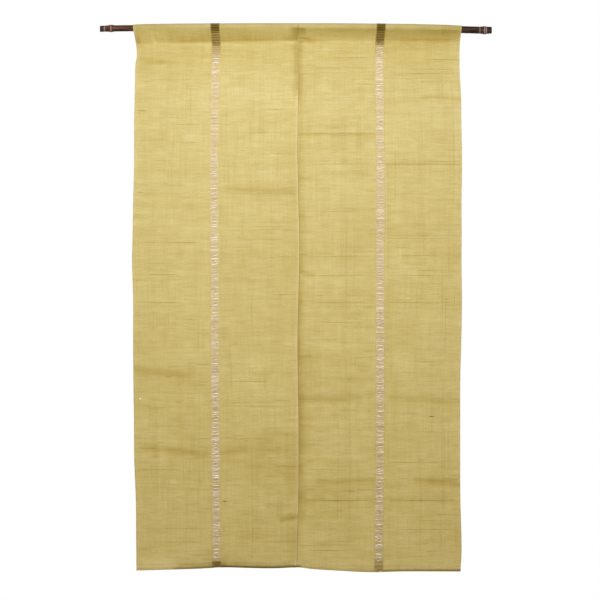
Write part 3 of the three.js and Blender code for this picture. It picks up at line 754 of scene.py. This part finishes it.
def ladder_threads(panel, material):
    rng = np.random.default_rng(panel.seed * 100 + 20)
    band = LADDER_EDGE + THREAD_OVERLAP
    t = np.linspace(0, 1, THREAD_STEPS)
    bow = 4 * t * (1 - t)
    outs = LADDER_ACROSS - band + 2 * band * t
    paths = [panel.path(out) for out in outs]
    length = min(path[2][-1] for path in paths)
    _, _, middle_along, middle_cloth = paths[THREAD_STEPS // 2]
    foot = middle_along[HEM_BOTTOM]

    opening = straight(panel.ladder, "drop", "opening")
    pitch = straight(panel.ladder, "drop", "pitch")
    gaps = []
    drop = panel.ladder[0]["drop"]
    while drop < panel.ladder[-1]["drop"]:
        place = foot + middle_cloth[HEM_BOTTOM] - drop
        centre = rng.uniform(*GAP_CENTRES)
        half = rng.uniform(*GAP_HALVES)
        height = GAP_OPENING * opening(drop) * rng.uniform(*GAP_SIZES)
        gaps.append((place, centre, half, height, rng.normal(0, GAP_LEAN), rng.normal(0, GAP_ARCH)))
        drop += GAP_PITCH * pitch(drop) * rng.uniform(*GAP_SPACES)

    def opened(starts, share):
        """Where threads that start at these lengths along the cloth pass, pushed apart by the gaps."""
        knots = np.arange(0, length + WANDER_PITCH, WANDER_PITCH)
        arch = np.interp(starts, knots, rng.normal(0, ARCH, len(knots)))
        lean = np.interp(starts, knots, rng.normal(0, LEAN, len(knots)))
        along = starts[:, None] + arch[:, None] * bow + lean[:, None] * (t - 0.5) * bow
        for place, centre, half, height, gap_lean, gap_arch in gaps:
            near = np.abs(starts - place) < GAP_NEAR
            offset = along[near] - (place + gap_lean * (t - centre) * 2 + gap_arch * bow)
            shape = np.clip(1 - ((t - centre) / half) ** 2, 0, 1)
            along[near] += share * height / 2 * shape * np.sign(offset) * np.exp(-np.abs(offset) / GAP_HOLD)
        return along

    def lay(along, lift, wide, thick, tones, strands, sides):
        lines = np.empty(along.shape + (3,))
        cloth = np.empty(along.shape)
        for j, (out, (depths, drops, path_along, cloth_drops)) in enumerate(zip(outs, paths)):
            place = np.clip(along[:, j], 0, path_along[-1])
            drop = np.interp(place, path_along, drops)
            depth = np.interp(place, path_along, depths)
            lines[:, j] = panel.place(out, depth + lift * math.sin(math.pi * t[j]), drop)
            cloth[:, j] = np.interp(place, path_along, cloth_drops)
        stripes = 1 + POCKET_STRIPES * np.sin(cloth * 0.9) * (1 - smoothstep(cloth, *POCKET_STRIPES_END))
        strands.add(lines, wide, thick, tones * ladder_shade_along(cloth) * stripes, sides=sides)

    # Painted shade on the ladder threads: darker over the cane, in the pocket and in the hem
    ladder_shade_along = straight(panel.ladder_tones, "drop", "tone")
    strands = Strands()
    starts = np.arange(THREAD_PITCH / 2, length - THREAD_PITCH / 2, THREAD_PITCH)
    starts = starts + rng.normal(0, THREAD_STRAY, len(starts))
    starts = starts[np.abs(starts - foot) > FOOT_GAP]
    count = len(starts)
    along = opened(starts, 1.0)
    crossing = rng.random(count) < CROSSING_SHARE
    slope = rng.choice([-1, 1], count) * rng.uniform(*CROSSING_LEAN, count) * crossing
    along = along + slope[:, None] * (t - 0.5) * bow
    lift = rng.normal(0, THREAD_LIFT, count) - THREAD_THICK * crossing
    wide = rng.uniform(*THREAD_WIDE, count)[:, None] * (1 - 0.1 * bow)
    tones = rng.normal(1, THREAD_TONE_SPREAD, count)[:, None]
    lay(along, lift, wide, THREAD_THICK, tones, strands, 4)

    fibres = rng.uniform(foot + FOOT_GAP, length - 1, int(count * FIBRE_SHARE))
    along = opened(fibres, FIBRE_OPENED)
    slope = rng.normal(0, FIBRE_LEAN, len(fibres))
    along = along + slope[:, None] * (t - 0.5)
    lift = rng.normal(-0.2, THREAD_LIFT, len(fibres))
    tones = rng.normal(FIBRE_TONE, 0.08, len(fibres))[:, None]
    lay(along, lift, FIBRE_WIDE, FIBRE_WIDE, tones, strands, 3)
    return strands.make("ladder_threads_" + panel.name, material)


# Cords where the cloth ends: beside the ladder and along the outer edge
LADDER_CORD_WIDE = 0.9
EDGE_CORD_WIDE = 1.3
CORD_THICK = 1.0
CORD_STEP = 3
SEAM_OUT = -0.15
SEAM_CORD = dict(wide=1.2, thick=0.5, tone=1.0, top_shade=0.4, top_reach=9)


def edge_cords(panel, strands, pale_strands):
    for out, wide, gathered in (
        (LADDER_ACROSS - LADDER_EDGE, LADDER_CORD_WIDE, strands),
        (LADDER_ACROSS + LADDER_EDGE, LADDER_CORD_WIDE, strands),
        (PANEL_WIDTH - EDGE_CORD_WIDE / 2, EDGE_CORD_WIDE, pale_strands),
        (PANEL_WIDTH - 2 * EDGE_CORD_WIDE, EDGE_CORD_WIDE, pale_strands),
    ):
        depths, drops, _, cloth_drops = panel.path(out)
        line = panel.place(out, depths, drops)[::CORD_STEP]
        cloth = cloth_drops[::CORD_STEP]
        swell = 1 + 0.18 * np.sin(cloth / 3.7) * np.sin(cloth / 11)
        tones = panel.tone(out, cloth) * (1 + 0.05 * np.sin(cloth / 5.3))
        gathered.add(line[None], wide * swell, CORD_THICK, tones, hint=(1, 0, 0), sides=6)
    if panel.side < 0:
        depths, drops, _, cloth = panel.path(SEAM_OUT)
        sewn = cloth < SEAM_DROP + 8
        line = panel.place(SEAM_OUT, depths, drops)[sewn]
        tones = SEAM_CORD["tone"] * (1 + 0.06 * np.sin(cloth[sewn] / 2.1))
        tones = tones - SEAM_CORD["top_shade"] * plateau(cloth[sewn], SEAM_CORD["top_reach"])
        strands.add(line[None], SEAM_CORD["wide"], SEAM_CORD["thick"], tones, hint=(1, 0, 0), sides=6)


# Thick places of single threads
SLUB_STEP = 5.0
SLUB_THICK = 0.5
RANDOM_SLUBS = 520
RANDOM_WARPS = 110
WARP_STEP = 10.0
WARP_THICK = 0.7


def outside_ladder(start, end):
    """The parts of a stretch across a panel that keep clear of the slit, the ladder and the outer edge."""
    margin = LADDER_EDGE + 0.5
    stretches = ((3.0, LADDER_ACROSS - margin), (LADDER_ACROSS + margin, PANEL_WIDTH - 1.5))
    for low, high in stretches:
        first, last = max(start, low), min(end, high)
        if last - first > 4:
            yield first, last


def weft_slub(panel, strands, rng, out, drop, length, tone, wide):
    for first, last in outside_ladder(out - length / 2, out + length / 2):
        steps = max(4, int((last - first) / SLUB_STEP) + 1)
        t = np.linspace(0, 1, steps)
        outs = first + (last - first) * t
        drops = drop + np.cumsum(rng.normal(0, 0.12, steps)) + 0.35 * np.sin(outs / 17 + drop)
        taper = np.clip(np.sin(math.pi * (0.04 + 0.92 * t)), 0, 1) ** 0.6
        swell = taper * (1 + 0.25 * rng.normal(size=steps).clip(-1.5, 1.5))
        tones = panel.tone(outs, drops) * (1 + tone)
        strands.add(panel.on_front(outs, drops)[None], wide * swell, SLUB_THICK * taper + 0.2, tones)


def warp_slub(panel, strands, rng, out, top, bottom, tone, wide):
    drops = np.arange(top, bottom, WARP_STEP)
    outs = out + 0.3 * np.sin(drops / 47 + out)
    dotted = 0.55 + 0.45 * rng.random(len(drops))
    tones = panel.tone(outs, drops) * (1 + tone * dotted)
    taper = np.clip(np.minimum(drops - top, bottom - drops) / 12, 0.3, 1)
    strands.add(panel.on_front(outs, drops)[None], wide * taper, WARP_THICK, tones, hint=(1, 0, 0))


def slubs(panel, strands):
    rng = np.random.default_rng(panel.seed * 100 + 30)
    for out, drop, length, tone in panel.slubs:
        weft_slub(panel, strands, rng, out, drop, length, tone, 1.5 if length > 25 else 3.2)
    for _ in range(RANDOM_SLUBS):
        length = 8 + rng.exponential(32)
        tone = rng.normal(-0.02, 0.08)
        place = (rng.uniform(5, PANEL_WIDTH - 5), rng.uniform(52, 1458))
        weft_slub(panel, strands, rng, *place, length, tone, rng.uniform(0.5, 1.2))
    for out, tone in panel.warps:
        warp_slub(panel, strands, rng, out, 50, 1464, tone, 1.0)
    for _ in range(RANDOM_WARPS):
        inner = rng.uniform(8, LADDER_ACROSS - 14)
        out = rng.choice([inner, rng.uniform(LADDER_ACROSS + 14, PANEL_WIDTH - 4)])
        top = rng.uniform(50, 1300)
        bottom = min(top + 30 + rng.exponential(110), 1460)
        warp_slub(panel, strands, rng, out, top, bottom, rng.normal(0.02, 0.1), rng.uniform(0.5, 0.9))


# Hand sewing: a running stitch shows long on one face and short on the other
FIRST_STITCH = 22
STITCH_PITCH = 7.0
STITCH_SHORT = 2.4
STITCH_STANDS = 0.25
STITCH_WIDE = 0.6
STITCH_ABOVE_EDGE = 3.0
SLIT_STITCH_OUT = 3.8
SLIT_STITCH_PITCH = 9.0
SLIT_STITCH_FRONT = (0, 1.6, -STITCH_STANDS, -0.15)
SLIT_STITCH_BACK = (1.6, SLIT_STITCH_PITCH, 1.4, 0.25)
SEAM_STITCH_PITCH = 15.0
SEAM_STITCH = 4.5
SEAM_STITCH_WIDE = 1.3
SEAM_STITCH_STANDS = 0.35
STITCH_TONE = 0.8
SEAM_STITCH_TONE = 1.05


def stitch(strands, start, end, lift, wide, tone, hint):
    """One stitch between two points on the cloth, bowed off it by the lift."""
    t = np.linspace(0, 1, 5)[:, None]
    line = np.asarray(start) + (np.asarray(end) - np.asarray(start)) * t
    line[:, 1] += lift * np.sin(math.pi * t[:, 0]) - lift * 0.25
    strands.add(line[None], wide, wide * 0.8, tone, hint=hint)


def sewing(panel, strands):
    rng = np.random.default_rng(panel.seed * 100 + 40)
    for out in np.arange(FIRST_STITCH, PANEL_WIDTH - 6, STITCH_PITCH):
        if abs(out - LADDER_ACROSS) < LADDER_EDGE + 5:
            continue
        out = out + rng.normal(0, 0.4)
        at_pocket = pocket_edge(panel.across(out, 0)) - STITCH_ABOVE_EDGE + rng.normal(0, 0.25)
        at_hem = panel.lower(out) - HEM_DEPTH + 2 + rng.normal(0, 0.25)
        shown = np.array([out, out + STITCH_SHORT])
        hidden = np.array([out + STITCH_SHORT, out + STITCH_PITCH])
        for at in (at_pocket, at_hem):
            shade = STITCH_TONE * panel.tone(out, at)
            front = panel.on_front(shown, at, -STITCH_STANDS)
            stitch(strands, *front, -0.2, STITCH_WIDE, shade, (0, 0, 1))
            back = panel.on_front(hidden, at, CLOTH + STITCH_STANDS)
            stitch(strands, *back, 0.2, STITCH_WIDE, shade, (0, 0, 1))
    for drop in np.arange(SEAM_DROP + 14, panel.lower(0) - HEM_DEPTH - 4, SLIT_STITCH_PITCH):
        shade = STITCH_TONE * panel.tone(SLIT_STITCH_OUT, drop)
        for start, end, behind, lift in (SLIT_STITCH_FRONT, SLIT_STITCH_BACK):
            ends = panel.on_front(SLIT_STITCH_OUT, drop + np.array([start, end]), behind)
            stitch(strands, *ends, lift, STITCH_WIDE, shade, (1, 0, 0))
    if panel.side < 0:
        for drop in np.arange(36, SEAM_DROP - 4, SEAM_STITCH_PITCH):
            start = panel.place(-0.3, panel.front(0, drop) - SEAM_STITCH_STANDS, drop)
            end_depth = panel.front(0, drop + SEAM_STITCH) - SEAM_STITCH_STANDS
            end = panel.place(0.3, end_depth, drop + SEAM_STITCH + rng.normal(0, 0.6))
            stitch(strands, start, end, -0.2, SEAM_STITCH_WIDE, SEAM_STITCH_TONE, (1, 0, 0))


def rod_end(end, inward):
    """The rounded rim, the flat cut and the sunk pith of one end, from the outside to the middle."""
    turn = np.linspace(0, math.pi / 2, 5)
    pith = end["radius"] * PITH_SHARE
    inside = np.r_[ROD_END_ROUND * (1 - np.sin(turn)), 0, 0.6, PITH_DEPTH, PITH_DEPTH]
    radii = np.r_[end["radius"] - ROD_END_ROUND * (1 - np.cos(turn)), pith + 0.5, pith, pith * 0.85, 0.01]
    return end["across"] + inward * inside, radii


def bamboo_rod(material):
    nodes = ROD[1:-1]
    start = ROD[0]["across"] + ROD_END_ROUND
    end = ROD[-1]["across"] - ROD_END_ROUND
    fine = [np.arange(start, end, ROD_STEP)]
    fine += [node["across"] + np.arange(-13, 13, ROD_FINE_STEP) for node in nodes]
    fine += [ring["across"] + np.arange(-5, 5, ROD_FINE_STEP) for ring in PALE_RINGS]
    places = np.unique(np.concatenate(fine).round(1))
    places = places[(places > start) & (places < end)]
    node_share = curve(NODE_SHAPE, "along", "share")
    radii = rod_radius(places).astype(float)
    for node in nodes:
        offset = places - node["across"]
        near = (offset > NODE_SHAPE[0]["along"]) & (offset < NODE_SHAPE[-1]["along"])
        radii = radii + np.where(near, node["rise"] * node_share(offset), 0)
        radii = radii - NODE_GROOVE * bell(offset - NODE_GROOVE_ALONG, NODE_GROOVE_WIDE)
    for ring in PALE_RINGS:
        radii = radii - ring["sunk"] * bell(places - ring["across"], ring["wide"] / 2)

    head, head_radii = rod_end(ROD[0], 1)
    tail, tail_radii = rod_end(ROD[-1], -1)
    places = np.r_[head[::-1], places, tail]
    radii = np.r_[head_radii[::-1], radii, tail_radii]
    angles = np.arange(ROD_SIDES) * 2 * math.pi / ROD_SIDES
    uneven = 1 + 0.012 * np.sin(2 * angles + 0.6) + 0.006 * np.sin(5 * angles)
    rings = radii[:, None] * uneven[None, :]
    heights = rod_height(places)[:, None] + rings * np.sin(angles)
    across = np.broadcast_to(places[:, None], rings.shape)
    points = np.stack([across, rings * np.cos(angles), heights], axis=-1)
    index = np.arange(rings.size).reshape(rings.shape)
    index = np.concatenate([index, index[:, :1]], axis=1)
    made = make_mesh("bamboo_rod", points.reshape(-1, 3), grid_faces(index)[:, ::-1], material)
    marks = np.zeros((len(places), 3))
    for ring in PALE_RINGS:
        marks[:, 0] += ring["pale"] * bell(places - ring["across"], ring["wide"])
    for node in nodes:
        offset = places - node["across"]
        # Each node's ridge is pale, partly the cane's own colour and partly a painted highlight
        marks[:, 0] += 0.55 * bell(offset + 0.6, 1.1)
        # Painted shade in the groove beside each node ring
        marks[:, 1] += 0.6 * bell(offset - NODE_GROOVE_ALONG, 1.0)
        marks[:, 2] += bell(offset, 9)
    marks[:, 1] += smoothstep(-places, 528, 531) * 0.8 + smoothstep(places, 520, 527) * 0.7
    store(made.data, "marks", "FLOAT_VECTOR", np.repeat(marks, ROD_SIDES, axis=0))
    return made


def linear(red, green, blue):
    """A colour given from 0 to 255 as Blender's linear one."""
    parts = [c / 255 for c in (red, green, blue)]
    return tuple([c / 12.92 if c <= 0.04045 else ((c + 0.055) / 1.055) ** 2.4 for c in parts] + [1.0])


DEEP_TONE = 0.72
CLOTH_TINTS = dict(mild=(1.0, 1.35, 2.8), deep=(1.0, 0.98, 0.8))
THREAD_TINTS = dict(mild=(1.0, 1.3, 2.6), deep=(1.0, 1.12, 1.8))


class Nodes:
    """A material's node tree, written as nested calls."""

    def __init__(self, name):
        self.material = bpy.data.materials.new(name)
        self.material.use_nodes = True
        self.tree = self.material.node_tree
        self.tree.nodes.clear()

    def add(self, kind, inputs=None, **settings):
        node = self.tree.nodes.new("ShaderNode" + kind)
        for key, value in settings.items():
            setattr(node, key, value)
        for key, value in (inputs or {}).items():
            socket = node.inputs[key]
            if isinstance(value, bpy.types.NodeSocket):
                self.tree.links.new(value, socket)
            else:
                socket.default_value = value
        return node

    def math(self, operation, a, b=0.0):
        return self.add("Math", {0: a, 1: b}, operation=operation).outputs[0]

    def times(self, a, b):
        return self.math("MULTIPLY", a, b)

    def total(self, *values):
        result = values[0]
        for value in values[1:]:
            result = self.math("ADD", result, value)
        return result

    def scaled(self, vector, scale):
        return self.add("VectorMath", {0: vector, 1: scale}, operation="MULTIPLY").outputs[0]

    def noise(self, vector, scale, detail=2.0, roughness=0.5):
        inputs = {"Vector": self.scaled(vector, scale), "Scale": 1.0, "Detail": detail}
        return self.add("TexNoise", inputs | {"Roughness": roughness}).outputs["Fac"]

    def ramp(self, value, low, high, bottom=0.0, top=1.0):
        inputs = {"Value": value, "From Min": low, "From Max": high, "To Min": bottom, "To Max": top}
        return self.add("MapRange", inputs, interpolation_type="SMOOTHSTEP").outputs[0]

    def mix(self, factor, a, b, blend="MIX"):
        node = self.add("Mix", data_type="RGBA", blend_type=blend)
        for socket, value in ((node.inputs[0], factor), (node.inputs[6], a), (node.inputs[7], b)):
            if isinstance(value, bpy.types.NodeSocket):
                self.tree.links.new(value, socket)
            else:
                socket.default_value = value
        return node.outputs[2]

    def attribute(self, name, output):
        return self.add("Attribute", attribute_name=name).outputs[output]

    def tinted(self, colour, tone, tints):
        """A colour at a tone near 1. Darker cloth is also a little yellower, and deep shade less so."""
        mild = self.math("MAXIMUM", tone, DEEP_TONE)
        deep = self.math("DIVIDE", tone, mild)
        parts = [
            self.times(self.math("POWER", mild, powers[0]), self.math("POWER", deep, powers[1]))
            for powers in zip(tints["mild"], tints["deep"])
        ]
        shade = self.add("CombineColor", dict(enumerate(parts))).outputs[0]
        return self.mix(1.0, colour, shade, "MULTIPLY")

    def bump(self, height, strength, distance):
        return self.add("Bump", {"Height": height, "Strength": strength, "Distance": distance}).outputs[0]

    def surface(self, colour, roughness, bump, sheen):
        inputs = {"Base Color": colour, "Roughness": roughness, "Specular IOR Level": sheen, "Normal": bump}
        return self.add("BsdfPrincipled", inputs).outputs[0]

    def blend(self, share, first, second):
        return self.add("MixShader", {0: share, 1: first, 2: second}).outputs[0]

    def finish(self, shader):
        output = self.tree.nodes.new("ShaderNodeOutputMaterial")
        self.tree.links.new(shader, output.inputs["Surface"])
        return self.material


CLOTH_FACE = linear(203, 181, 117)
CLOTH_THROUGH = linear(203, 176, 102)
THREAD_FACE = linear(215, 190, 137)
THREAD_THROUGH = linear(216, 188, 128)
WEAVE_PITCH = 0.0009
CLOTH_THROUGH_SHARE = 0.45
THREAD_THROUGH_SHARE = 0.4
HOLE_CLEAR = 0.12
CLOTH_SHEEN = 0.12
BAMBOO_SHEEN = 0.1


def weave(nodes, flat):
    """A plain weave: how high its threads stand, and where it is open between them."""
    wobble = nodes.times(nodes.noise(flat, (55, 55, 1), 2), 2.2)
    parts = nodes.add("SeparateXYZ", {0: flat}).outputs
    waves = []
    for part in (parts[0], parts[1]):
        turns = nodes.math("ADD", nodes.math("DIVIDE", part, WEAVE_PITCH), wobble)
        waves.append(nodes.math("SINE", nodes.times(turns, math.pi)))
    warp, weft = (nodes.math("ABSOLUTE", wave) for wave in waves)
    over = nodes.ramp(nodes.times(*waves), -0.2, 0.2)
    warp_height = nodes.times(warp, nodes.ramp(weft, 0, 1, 0.55, 1))
    weft_height = nodes.times(weft, nodes.ramp(warp, 0, 1, 0.55, 1))
    lifted = nodes.times(over, nodes.math("SUBTRACT", warp_height, weft_height))
    height = nodes.math("ADD", weft_height, lifted)
    hole = nodes.ramp(nodes.math("MAXIMUM", warp, weft), 0.3, 0.6, 1, 0)
    return height, hole


def cloth_material():
    nodes = Nodes("hemp_cloth")
    flat = nodes.attribute("flat", "Vector")
    tone = nodes.attribute("tone", "Fac")
    height, hole = weave(nodes, flat)
    streaks = nodes.noise(flat, (22, 400, 1), 3, 0.6)
    fine = nodes.noise(flat, (80, 650, 1), 2, 0.6)
    warps = nodes.noise(flat, (330, 9, 1), 2, 0.5)
    grain = nodes.noise(flat, (300, 300, 1), 1, 0.5)
    patches = nodes.ramp(nodes.noise(flat, (28, 36, 1), 2, 0.5), 0.42, 0.62, 0.25, 1)
    change = nodes.total(
        nodes.ramp(streaks, 0.3, 0.7, -0.05, 0.05),
        nodes.ramp(fine, 0.3, 0.7, -0.025, 0.025),
        nodes.ramp(warps, 0.3, 0.7, -0.025, 0.025),
        nodes.times(nodes.ramp(grain, 0.3, 0.7, -0.05, 0.05), patches),
        nodes.ramp(height, 0.1, 0.9, -0.05, 0.03),
    )
    tone = nodes.times(tone, nodes.math("ADD", change, 1.0))
    relief = nodes.total(nodes.times(streaks, 0.8), nodes.times(height, 0.7))
    bump = nodes.bump(relief, 0.5, 0.0005)
    front = nodes.surface(nodes.tinted(CLOTH_FACE, tone, CLOTH_TINTS), 0.9, bump, CLOTH_SHEEN)
    through = nodes.tinted(CLOTH_THROUGH, tone, CLOTH_TINTS)
    back = nodes.add("BsdfTranslucent", {"Color": through, "Normal": bump}).outputs[0]
    clear = nodes.add("BsdfTransparent", {"Color": (1, 1, 1, 1)}).outputs[0]
    solid = nodes.blend(CLOTH_THROUGH_SHARE, front, back)
    return nodes.finish(nodes.blend(nodes.times(hole, HOLE_CLEAR), solid, clear))


def yarn_material(name, face_colour, through_colour, share, tints):
    """Loose threads: fine twisted strands along each one."""
    nodes = Nodes(name)
    place = nodes.add("TexCoord").outputs["Object"]
    tone = nodes.attribute("tone", "Fac")
    twist = nodes.noise(place, (500, 500, 900), 2, 0.6)
    tone = nodes.times(tone, nodes.ramp(twist, 0.3, 0.7, 0.93, 1.07))
    bump = nodes.bump(twist, 0.4, 0.0002)
    front = nodes.surface(nodes.tinted(face_colour, tone, tints), 0.85, bump, CLOTH_SHEEN)
    back = nodes.add("BsdfTranslucent", {"Color": nodes.tinted(through_colour, tone, tints)}).outputs[0]
    return nodes.finish(nodes.blend(share, front, back))


def bamboo_material():
    nodes = Nodes("dark_bamboo")
    place = nodes.add("TexCoord").outputs["Object"]
    marks = nodes.add("SeparateXYZ", {0: nodes.attribute("marks", "Vector")}).outputs
    grain = nodes.noise(place, (7, 1100, 1100), 3, 0.6)
    mottle = nodes.noise(place, (22, 90, 90), 4, 0.6)
    along = nodes.add("SeparateXYZ", {0: place}).outputs[0]
    spots = nodes.ramp(mottle, 0.38, 0.62)
    colour = nodes.mix(spots, linear(43, 20, 11), linear(73, 43, 25))
    darker = nodes.ramp(along, -0.40, 0.44, 0.0, 0.75)
    colour = nodes.mix(darker, colour, nodes.mix(spots, linear(22, 10, 6), linear(46, 27, 15)))
    colour = nodes.mix(nodes.ramp(grain, 0.48, 0.78, 0.0, 0.55), colour, linear(30, 16, 11))
    colour = nodes.mix(nodes.times(marks[2], 0.35), colour, linear(86, 44, 40))
    # Pale rings, and the node ridges, whose pale is partly a painted highlight
    colour = nodes.mix(nodes.math("MINIMUM", marks[0], 1.0), colour, linear(176, 150, 128))
    # Dark in the grooves by the nodes, which is painted shade, and at both ends
    colour = nodes.mix(nodes.math("MINIMUM", marks[1], 1.0), colour, linear(34, 28, 22))
    bump = nodes.bump(nodes.total(grain, nodes.times(mottle, 0.6)), 0.25, 0.0004)
    return nodes.finish(nodes.surface(colour, nodes.ramp(grain, 0.3, 0.7, 0.34, 0.5), bump, BAMBOO_SHEEN))


def plain_material(name, colour, roughness):
    nodes = Nodes(name)
    inputs = {"Base Color": colour, "Roughness": roughness}
    return nodes.finish(nodes.add("BsdfPrincipled", inputs).outputs[0])


# The studio: a white surround that lights the object more softly than it shows, and one large lamp
AMBIENT = 0.5
KEY_PLACE = (-150, -2000, 150)
KEY_AIM = (0, 0, -250)
KEY_SIZE = (1300, 800)
KEY_POWER = 78
KEY_COLOUR = (0.84, 0.93, 1.0)


def area_light(name, place, aim, size, power, colour):
    light = bpy.data.lights.new(name, "AREA")
    light.shape = "RECTANGLE"
    light.size = size[0] * MM
    light.size_y = size[1] * MM
    light.energy = power
    light.color = colour
    lamp = bpy.data.objects.new(name, light)
    lamp.location = Vector(place) * MM
    lamp.rotation_euler = (Vector(aim) - Vector(place)).to_track_quat("-Z", "Y").to_euler()
    lamp.visible_camera = False
    bpy.context.collection.objects.link(lamp)


def studio():
    scene = bpy.context.scene
    world = bpy.data.worlds.new("white_studio")
    world.use_nodes = True
    tree = world.node_tree
    background = tree.nodes["Background"]
    background.inputs["Color"].default_value = (1, 1, 1, 1)
    seen = tree.nodes.new("ShaderNodeLightPath")
    strength = tree.nodes.new("ShaderNodeMapRange")
    strength.inputs["To Min"].default_value = AMBIENT
    strength.inputs["To Max"].default_value = 1.0
    tree.links.new(seen.outputs["Is Camera Ray"], strength.inputs["Value"])
    tree.links.new(strength.outputs["Result"], background.inputs["Strength"])
    scene.world = world
    scene.view_settings.view_transform = "Standard"
    area_light("key", KEY_PLACE, KEY_AIM, KEY_SIZE, KEY_POWER, KEY_COLOUR)

    camera_data = bpy.data.cameras.new("camera")
    camera_data.lens = LENS
    camera_data.sensor_width = SENSOR
    camera = bpy.data.objects.new("camera", camera_data)
    distance = PICTURE_WIDTH * LENS / SENSOR
    camera.location = Vector((CAMERA_ACROSS, -distance, -CAMERA_DROP)) * MM
    camera.rotation_euler = (math.pi / 2, 0, 0)
    camera_data.clip_end = 100
    bpy.context.collection.objects.link(camera)
    scene.camera = camera

    sides = ((-1, -1), (1, -1), (1, 1), (-1, 1))
    corners = [(x * FLOOR_REACH, y * FLOOR_REACH, -FLOOR_DROP) for x, y in sides]
    pale = plain_material("pale_floor", (0.8, 0.8, 0.79, 1), 0.9)
    floor = make_mesh("floor", corners, [(0, 1, 2, 3)], pale)


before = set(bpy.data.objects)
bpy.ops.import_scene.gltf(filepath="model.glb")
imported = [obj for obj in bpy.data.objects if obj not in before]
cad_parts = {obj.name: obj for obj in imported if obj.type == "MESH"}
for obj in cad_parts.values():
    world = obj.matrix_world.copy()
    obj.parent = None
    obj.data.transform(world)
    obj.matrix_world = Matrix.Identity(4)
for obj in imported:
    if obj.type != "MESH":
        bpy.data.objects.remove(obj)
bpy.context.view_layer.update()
studio()

cloth = cloth_material()
yarn = yarn_material("hemp_yarn", CLOTH_FACE, CLOTH_THROUGH, CLOTH_THROUGH_SHARE, CLOTH_TINTS)
thread = yarn_material("hemp_thread", THREAD_FACE, THREAD_THROUGH, THREAD_THROUGH_SHARE, THREAD_TINTS)
rod = bamboo_rod(bamboo_material())
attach(rod, "root")
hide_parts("rod")

for number, (name, words) in enumerate(PANELS.items()):
    panel = Panel(name, number + 1, words)
    sheet = sheet_of(panel, cloth)
    threads = ladder_threads(panel, thread)
    thick_places = Strands()
    stitches = Strands()
    edge_cords(panel, thick_places, stitches)
    slubs(panel, thick_places)
    slub_piece = thick_places.make("slubs_" + name, yarn)
    sewing(panel, stitches)
    sewn = stitches.make("stitches_and_selvedge_" + name, thread)
    for piece in (sheet, threads, slub_piece, sewn):
        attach(piece, "root")
    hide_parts("panel_" + name)
